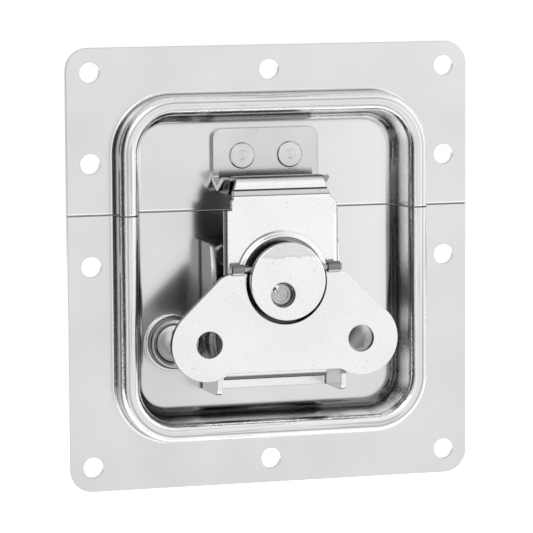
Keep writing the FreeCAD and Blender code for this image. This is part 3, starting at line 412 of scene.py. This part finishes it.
def hook_painted_shade(tree, colour):
    """Painted shade on the folded sides, round the collar, in the well round the cam, along the fold
    and the crease, on the crown and at the foot's end, with a painted highlight ring in the well.
    """
    height = own_place(tree)["Z"]
    radius = round_from(tree, DISC_CENTRE)
    # folded sides painted darker as shade
    sides = facing(tree, "X", 0.6, 0.9, 0.0, 0.75)
    # painted shade round the collar's foot and groove, heavier towards the left
    collar_lines = larger(tree, thin_line(tree, radius, COLLAR_FOOT, 0.3 * MM),
                          thin_line(tree, radius, COLLAR_GROOVE, 0.12 * MM))
    leftward = spread(tree, own_place(tree)["X"], -4.0 * MM, 1.0 * MM, 0.75, 0.1)
    # the well round the cam painted nearly black as shade
    well = inside_circle(tree, DISC_CENTRE, CAM_WELL)
    # a painted highlight ring near the disc's edge, stronger towards the top
    painted_sheen = times(tree, thin_line(tree, radius, SHEEN_RING, 0.45 * MM),
                  spread(tree, height, -3.0 * MM, 0.0, 0.0, 0.7))
    # painted shade lines along the fold and the crease, on the crown and at the foot's end
    fold = thin_line(tree, height, HOOK_FOLD_Z, 0.15 * MM)
    crease = thin_line(tree, height, HOOK_CREASE_Z, 0.24 * MM)
    crown = spread(tree, height, 21.5 * MM, 21.9 * MM, 0.0, 0.85)
    foot_end = spread(tree, height, -26.2 * MM, -26.6 * MM, 0.0, 0.9)
    shaded = darken(tree, colour, sides, 0.22)
    collar_shaded = darken(tree, shaded, times(tree, collar_lines, leftward), 0.08)
    well_shaded = darken(tree, collar_shaded, times(tree, well, 0.9), 0.04)
    sheen_added = blend_colour(tree, painted_sheen, well_shaded, grey(0.60))
    lined = darken(tree, sheen_added, times(tree, fold, 0.8), 0.12)
    creased = darken(tree, lined, times(tree, crease, 0.95), 0.02)
    return darken(tree, darken(tree, creased, crown, 0.06), foot_end, 0.08)


def wing_painted_shade(tree, colour):
    """Painted shade on the sheared sides, and on the curl of the knuckles above the plate."""
    sides = facing(tree, "Y", 0.3, 0.7, 0.95, 0.0)
    curl = spread(tree, own_place(tree)["Z"], -0.9 * MM, -0.3 * MM, 0.0, 0.85)
    return darken(tree, darken(tree, colour, sides, 0.05), curl, 0.12)


def keeper_painted_shade(tree, colour):
    """Painted shade on the sheared sides up the plate, and in the gutter between the two horns, which
    stay bright.
    """
    place = own_place(tree)
    plate = spread(tree, place["Z"], 22.0 * MM, 23.0 * MM, 0.0, 0.85)
    sides = times(tree, facing(tree, "X", 0.6, 0.9, 0.0, 1.0), plate)
    gutter = spread(tree, place["Z"], 21.6 * MM, 23.4 * MM, 0.9, 0.0)
    between_horns = spread(tree, unsigned(tree, place["X"]), 11.90 * MM, 11.96 * MM, 1.0, 0.0)
    return darken(tree, darken(tree, colour, sides, 0.12), times(tree, gutter, between_horns), 0.04)


def bracket_painted_shade(tree, colour):
    """Painted shade on the walls, broken by painted highlight streaks behind the ears, and weaker on
    the lugs at their lower ends.
    """
    place = own_place(tree)
    walls = spread(tree, place["Z"], -26.0 * MM, -20.0 * MM, 0.25, 0.85)
    sides = times(tree, facing(tree, "X", 0.6, 0.9, 0.0, 1.0), walls)
    streak = use_group(tree, STREAKS, Across=place["Y"], Along=times(tree, place["Z"], 0.1),
                       Width=1.4, Detail=1.0)["Streak"]
    from_ears = unsigned(tree, minus(tree, place["Z"], EARS_Z))
    highlight_streaks = times(tree, spread(tree, streak, 0.48, 0.54, 0.0, 1.0),
                    spread(tree, from_ears, 3.5 * MM, 5.5 * MM, 0.95, 0.0))
    return darken(tree, colour, times(tree, sides, minus(tree, 1.0, highlight_streaks)), 0.09)


def drum_marks(tree, colour):
    """A lighter seat round the pivot rivet's head, in a drum painted nearly black as shade."""
    return blend_colour(tree, inside_circle(tree, CAM_CENTRE, 3.2 * MM), colour, grey(0.55))


def lock_groove_shade(tree, colour):
    """Painted shade in the grooves round the lock's rim and round its plug."""
    radius = round_from(tree, LOCK_CENTRE)
    grooves = larger(tree, thin_line(tree, radius, LOCK_RIM_GROOVE, 0.35 * MM),
                     thin_line(tree, radius, LOCK_PLUG_GROOVE, 0.22 * MM))
    return darken(tree, colour, times(tree, grooves, 0.85), 0.06)


def disc_painted_shade(tree, colour):
    """A segment at the top of the disc painted darker as shade, with an uneven lower edge, and painted
    shade on the disc's sides.
    """
    wander = use_group(tree, GRAIN, Grain_Size=2.0)["Grain"]
    level = plus(tree, own_place(tree)["Z"], spread(tree, wander, 0.3, 0.7, -0.5 * MM, 0.5 * MM))
    segment = spread(tree, level, 3.2 * MM, 3.5 * MM, 0.0, 0.45)
    outline = times(tree, thin_line(tree, level, 3.3 * MM, 0.3 * MM), 0.3)
    sides = facing(tree, "Y", 0.3, 0.7, 0.6, 0.0)
    shaded = darken(tree, darken(tree, colour, segment, 0.55), outline, 0.4)
    return darken(tree, shaded, sides, 0.15)


def rim_distance(tree):
    """How far a point lies from the line that joins the rim's corner centres."""
    place = own_place(tree)
    beyond = add(tree, "ShaderNodeCombineXYZ")
    for axis, centre in (("X", RIM_CORNER.x), ("Z", RIM_CORNER.z)):
        past_centre = minus(tree, unsigned(tree, place[axis]), centre)
        wire(tree, larger(tree, past_centre, 0.0), beyond.inputs[axis])
    length = add(tree, "ShaderNodeVectorMath", operation="LENGTH")
    wire(tree, beyond.outputs[0], length.inputs[0])
    return length.outputs["Value"]


def rim_streaks_and_shade(tree, colour, rim):
    """Lines along the rim: fine streaks that the press draws, with a painted shade line round the rim
    and painted shade at its foot.
    """
    place = own_place(tree)
    streak = use_group(tree, STREAKS, Across=rim,
                       Along=times(tree, plus(tree, place["X"], place["Z"]), 0.02),
                       Width=0.55, Detail=2.0)["Streak"]
    on_rim = times(tree, spread(tree, rim, 9.0 * MM, 9.4 * MM, 0.0, 1.0),
                   spread(tree, rim, 14.0 * MM, 14.3 * MM, 1.0, 0.0))
    streaks = times(tree, spread(tree, streak, 0.57, 0.64, 0.0, 0.36), on_rim)
    # a painted shade line round the rim and painted shade at its foot
    shade_line = thin_line(tree, rim, RIM_SHADE_LINE, 0.24 * MM)
    foot = thin_line(tree, rim, RIM_FOOT, 0.22 * MM)
    lines = larger(tree, times(tree, larger(tree, shade_line, foot), 0.5), streaks)
    return darken(tree, colour, times(tree, lines, front_side(tree)), 0.16)


def floor_painted_light(tree, colour):
    """The dish's floor: painted shade low at the left, a painted highlight at the right, and painted
    shade behind the right ear's hole.
    """
    place = own_place(tree)
    floor = spread(tree, place["Y"], 1.6 * MM, 2.2 * MM, 0.0, 1.0)
    low_left = times(tree, spread(tree, place["X"], -24.0 * MM, -6.0 * MM, 1.0, 0.0),
                     spread(tree, place["Z"], -26.0 * MM, -16.0 * MM, 0.7, 0.0))
    right = times(tree, spread(tree, place["X"], 8.0 * MM, 30.0 * MM, 0.0, 0.8),
                  spread(tree, place["Z"], -26.0 * MM, -12.0 * MM, 0.0, 1.0))
    shaded = blend_colour(tree, times(tree, low_left, floor), colour, grey(0.62))
    bright = blend_colour(tree, times(tree, right, floor), shaded, grey(0.82))
    return darken(tree, bright, times(tree, ear_hole_shade(tree, place), front_side(tree)), 0.04)


def ear_hole_shade(tree, place):
    """Painted shade behind the right ear's hole, with an uneven edge, and lighter along a slant as a
    painted sheen.
    """
    edge_wobble = use_group(tree, GRAIN, Grain_Size=4.0, Stretch=(1.0, 1.0, 0.6))["Grain"]
    radius = plus(tree, round_from(tree, EAR_SHADE_CENTRE),
                  spread(tree, edge_wobble, 0.3, 0.7, -1.2 * MM, 1.2 * MM))
    slant = minus(tree, minus(tree, place["X"], place["Z"]), EAR_SHADE_CENTRE.x - EAR_SHADE_CENTRE.z)
    painted_sheen = spread(tree, unsigned(tree, slant), 0.4 * MM, 4.0 * MM, 0.72, 1.0)
    return times(tree, spread(tree, radius, 2.0 * MM, 5.2 * MM, 0.92, 0.0), painted_sheen)


def seam_shadow_and_highlight(tree, colour):
    """The parting line between the dish's halves: a painted highlight on the lip over a painted shadow
    line.
    """
    above_seam = minus(tree, own_place(tree)["Z"], SEAM_Z)
    seam = thin_line(tree, above_seam, 0.0, 0.22 * MM)
    lip = thin_line(tree, above_seam, 0.40 * MM, 0.14 * MM)
    return blend_colour(tree, times(tree, lip, 0.9), colour, grey(0.98)), times(tree, seam, 0.9)


def inner_wall_shade(tree, rim):
    """A mask of painted shade on the wall inside the rim, weaker towards its top."""
    place = own_place(tree)
    depth = spread(tree, place["Y"], -4.5 * MM, 0.5 * MM, 0.0, 1.0)
    strength = spread(tree, place["Z"], 8.0 * MM, 24.0 * MM, 0.82, 0.32)
    turned = spread(tree, own_normal(tree)["Y"], -0.9995, -0.965, 0.0, 1.0)
    within_rim = spread(tree, rim, 11.2 * MM, RIM_CREST, 1.0, 0.0)
    wall = times(tree, depth, times(tree, turned, strength))
    return times(tree, times(tree, wall, within_rim), front_side(tree))


def drawn_sheet(name):
    """The dish's sheet: smooth on its flats, and grainy where the press has stretched it."""
    material, tree, shader, normal = metal_base(name, EDGE_RADIUS)
    cloud = use_group(tree, CLOUD, Cloud_Size=22.0)["Cloud"]
    fine = use_group(tree, GRAIN, Grain_Size=0.35, Detail=2.0)["Grain"]
    coarse = use_group(tree, GRAIN, Grain_Size=0.9, Detail=4.0)["Grain"]
    edge = use_group(tree, EDGES, Width=EDGE_WEAR_AND_SHADE_WIDTH)["Edge"]
    line = use_group(tree, HAIRLINES, Spacing=2.2)["Line"]
    rim = rim_distance(tree)
    bent = facing(tree, "Y", 0.8, 0.999, 1.0, 0.0)

    body = floor_painted_light(tree, blend_colour(tree, cloud, grey(0.68), grey(0.73)))
    pitted = blend_colour(tree, spread(tree, fine, 0.50, 0.60, 0.0, 1.0), grey(1.0), grey(0.84))
    stretched = blend_colour(tree, bent, body, pitted)
    scored = blend_colour(tree, times(tree, line, 0.04), stretched, grey(0.95))
    # edges painted darker as shade
    edged = blend_colour(tree, edge, scored, grey(0.55))
    lipped, seam = seam_shadow_and_highlight(tree, edged)
    wall_shaded = darken(tree, rim_streaks_and_shade(tree, lipped, rim), inner_wall_shade(tree, rim), 0.10)
    wire(tree, darken(tree, wall_shaded, seam, 0.05), shader.inputs["Base Color"])

    gloss = spread(tree, cloud, 0.0, 1.0, 0.15, 0.20)
    wire(tree, minus(tree, gloss, times(tree, bent, 0.04)), shader.inputs["Roughness"])

    height = plus(tree, times(tree, fine, spread(tree, bent, 0.0, 1.0, 0.10, 1.2)),
                  times(tree, coarse, times(tree, bent, 0.6)))
    wire(tree, relief(tree, height, 0.03 * MM, normal), shader.inputs["Normal"])
    return material


def ringed_metal(name, tones, roughness, centre, pitch, reach, depth,
                 both_sides=0.0, bright_patch=None, marks=None):
    """A metal with tool rings round a centre, and a bright ragged patch on a dark ground if it has one.
    """
    dullest, brightest = tones
    material, tree, shader, normal = metal_base(name, 0.15 * MM)
    cloud = use_group(tree, CLOUD, Cloud_Size=5.0)["Cloud"]
    rings = use_group(tree, RINGS, Centre=centre, Pitch=pitch, Reach=reach, Both_Sides=both_sides)
    edge = use_group(tree, EDGES, Width=0.2 * MM)["Edge"]
    mark = times(tree, times(tree, rings["Ring"], rings["Inside"]), front_side(tree))
    body = blend_colour(tree, cloud, grey(dullest), grey(brightest))
    dulled = blend_colour(tree, times(tree, mark, 0.3), body, grey(dullest * 0.6))
    # edges painted darker as shade
    edged = blend_colour(tree, edge, dulled, grey(0.40))
    if bright_patch is not None:
        patch_area = times(tree, inside_circle(tree, bright_patch, 1.2 * MM), front_side(tree))
        ragged = use_group(tree, GRAIN, Grain_Size=0.9)["Grain"]
        bright = times(tree, patch_area, spread(tree, ragged, 0.40, 0.50, 0.0, 1.0))
        edged = blend_colour(tree, bright, darken(tree, edged, patch_area, 0.10), grey(0.97))
    wire(tree, marks(tree, edged) if marks else edged, shader.inputs["Base Color"])
    wire(tree, spread(tree, cloud, 0.0, 1.0, *roughness), shader.inputs["Roughness"])
    wire(tree, relief(tree, mark, depth, normal), shader.inputs["Normal"])
    return material


# Finishes of the latch's own pieces
FINISHES = {
    "dish": drawn_sheet("drawn dish sheet"),
    "keeper": plated_sheet(
        "keeper sheet", tones=(0.62, 0.72), edge_shade_tone=0.25, roughness=(0.16, 0.24),
        grain_size=0.35, grain_depth=0.012 * MM, marks=keeper_painted_shade),
    "bracket": plated_sheet(
        "bracket sheet", tones=(0.80, 0.90), edge_shade_tone=0.60, roughness=(0.16, 0.26),
        grain_size=0.40, grain_depth=0.012 * MM, marks=bracket_painted_shade),
    "hook": plated_sheet(
        "hook sheet", tones=(0.87, 0.93), edge_shade_tone=0.30, roughness=(0.14, 0.22),
        grain_size=0.45, grain_depth=0.012 * MM, marks=hook_painted_shade),
    "wing": plated_sheet(
        "wing sheet", tones=(0.84, 0.90), edge_shade_tone=0.45, roughness=(0.15, 0.22),
        grain_size=0.45, grain_depth=0.014 * MM, marks=wing_painted_shade),
    "disc": plated_sheet(
        "disc face", tones=(0.86, 0.92), edge_shade_tone=0.45, roughness=(0.14, 0.20),
        grain_size=0.40, grain_depth=0.010 * MM, marks=disc_painted_shade),
    # the cam drum painted nearly black as shade
    "drum": plated_sheet(
        "shaded cam drum", tones=(0.05, 0.09), edge_shade_tone=0.15, roughness=(0.20, 0.32),
        grain_size=0.40, grain_depth=0.012 * MM, marks=drum_marks),
    "inner": plated_sheet(
        "inner steel", tones=(0.42, 0.50), edge_shade_tone=0.60, roughness=(0.28, 0.40),
        grain_size=0.40, grain_depth=0.012 * MM),
    "pin": plated_sheet(
        "hinge pin steel", tones=(0.40, 0.50), edge_shade_tone=0.60, roughness=(0.22, 0.30),
        grain_size=0.30, grain_depth=0.010 * MM),
    "pivot": ringed_metal(
        "swaged pivot head", tones=(0.40, 0.50), roughness=(0.20, 0.30), centre=CAM_CENTRE,
        pitch=0.7 * MM, reach=2.4 * MM, depth=0.06 * MM, bright_patch=HEAD_BRIGHT_PATCH),
    "keeper_rivet": ringed_metal(
        "keeper rivet head", tones=(0.62, 0.70), roughness=(0.22, 0.30), centre=KEEPER_RIVET_CENTRE,
        pitch=0.6 * MM, reach=1.3 * MM, depth=0.04 * MM, both_sides=1.0),
    "lock": ringed_metal(
        "nickel lock", tones=(0.84, 0.92), roughness=(0.20, 0.30), centre=LOCK_CENTRE,
        pitch=2.2 * MM, reach=4.8 * MM, depth=0.02 * MM, marks=lock_groove_shade),
}

NODE_FINISHES = {
    "upper_dish": "dish",
    "lower_dish": "dish",
    "keeper_plate": "keeper",
    "keeper_rivets": "keeper_rivet",
    "base_bracket": "bracket",
    "bracket_rivets": "inner",
    "pivot_rivet": "pivot",
    "friction_washer": "inner",
    "cam_drum": "drum",
    "cam_disc": "disc",
    "hook_plate": "hook",
    "hinge_pin": "pin",
    "butterfly_wing": "wing",
    "lock_body": "lock",
    "lock_nut": "inner",
    "lock_plug": "lock",
    "lock_tongue": "inner",
    "lock_screw": "inner",
}


def dress_nodes():
    """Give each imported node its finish."""
    for name, finish in NODE_FINISHES.items():
        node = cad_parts[name]
        node.data.materials.clear()
        node.data.materials.append(FINISHES[finish])


# Studio: a white room in front, dark at the far left, with darker bands of ceiling and of table
# edge above and below
def tone_ramp(tree, direction, stops):
    """A grey tone that follows one direction of the room, from -1 to 1."""
    node = add(tree, "ShaderNodeValToRGB")
    wire(tree, spread(tree, direction, -1.0, 1.0, 0.0, 1.0), node.inputs["Fac"])
    ramp = node.color_ramp
    ramp.interpolation = "LINEAR"
    ramp.elements[0].position, ramp.elements[0].color = stops[0][0], grey(stops[0][1])
    ramp.elements[1].position, ramp.elements[1].color = stops[-1][0], grey(stops[-1][1])
    for position, level in stops[1:-1]:
        ramp.elements.new(position).color = grey(level)
    return node.outputs["Color"]


def light_world():
    """The room's tones for what the metal mirrors, and plain white for the camera."""
    world = bpy.data.worlds.new("studio")
    bpy.context.scene.world = world
    world.use_nodes = True
    tree = world.node_tree
    backdrop = tree.nodes["Background"]
    parts = add(tree, "ShaderNodeSeparateXYZ")
    wire(tree, add(tree, "ShaderNodeTexCoord").outputs["Generated"], parts.inputs[0])
    across = tone_ramp(tree, parts.outputs["X"], ROOM_ACROSS)
    upward = tone_ramp(tree, parts.outputs["Z"], ROOM_UPWARD)
    both = add(tree, "ShaderNodeMix", data_type="RGBA", blend_type="MULTIPLY")
    both.inputs["Factor"].default_value = 1.0
    wire(tree, across, both.inputs[6])
    wire(tree, upward, both.inputs[7])
    behind = spread(tree, parts.outputs["Y"], 0.0, 0.25, 0.0, 1.0)
    room = blend_colour(tree, behind, both.outputs[2], grey(ROOM_BEHIND))
    seen = add(tree, "ShaderNodeLightPath").outputs["Is Camera Ray"]
    wire(tree, blend_colour(tree, seen, room, grey(1.0)), backdrop.inputs["Color"])
    wire(tree, spread(tree, seen, 0.0, 1.0, ROOM_STRENGTH, 1.0), backdrop.inputs["Strength"])


def hang_lamp(name, place, size, power):
    """A square soft lamp that faces the latch."""
    data = bpy.data.lights.new(name, "AREA")
    data.shape = "SQUARE"
    data.size = size
    data.energy = power
    lamp = bpy.data.objects.new(name, data)
    lamp.location = place
    lamp.rotation_euler = (-Vector(place)).to_track_quat("-Z", "Y").to_euler()
    bpy.context.scene.collection.objects.link(lamp)


def lay_floor():
    """A pale floor a little below the latch, which stays white in view and keeps a faint shadow."""
    mesh = bpy.data.meshes.new("floor")
    shape = bmesh.new()
    bmesh.ops.create_grid(shape, x_segments=4, y_segments=4, size=0.6)
    shape.to_mesh(mesh)
    shape.free()
    floor = bpy.data.objects.new("floor", mesh)
    floor.location = (0.0, 0.5, -0.115)
    bpy.context.scene.collection.objects.link(floor)
    material = bpy.data.materials.new("pale floor")
    material.use_nodes = True
    tree = material.node_tree
    tree.nodes.remove(tree.nodes["Principled BSDF"])
    matt = add(tree, "ShaderNodeBsdfDiffuse")
    matt.inputs["Color"].default_value = grey(0.9)
    glow = add(tree, "ShaderNodeEmission")
    path = add(tree, "ShaderNodeLightPath")
    shown = larger(tree, path.outputs["Is Camera Ray"],
                   larger(tree, path.outputs["Is Glossy Ray"], path.outputs["Is Transmission Ray"]))
    wire(tree, times(tree, shown, 0.5), glow.inputs["Strength"])
    both = add(tree, "ShaderNodeAddShader")
    wire(tree, matt.outputs[0], both.inputs[0])
    wire(tree, glow.outputs[0], both.inputs[1])
    wire(tree, both.outputs[0], tree.nodes["Material Output"].inputs["Surface"])
    mesh.materials.append(material)


bpy.context.scene.view_settings.view_transform = "Standard"
place_camera()
light_world()
hang_lamp("key", place=(-0.35, -0.9, 0.55), size=0.45, power=0.7)
hang_lamp("fill", place=(0.65, -0.7, 0.15), size=0.5, power=0.3)
lay_floor()
dress_nodes()
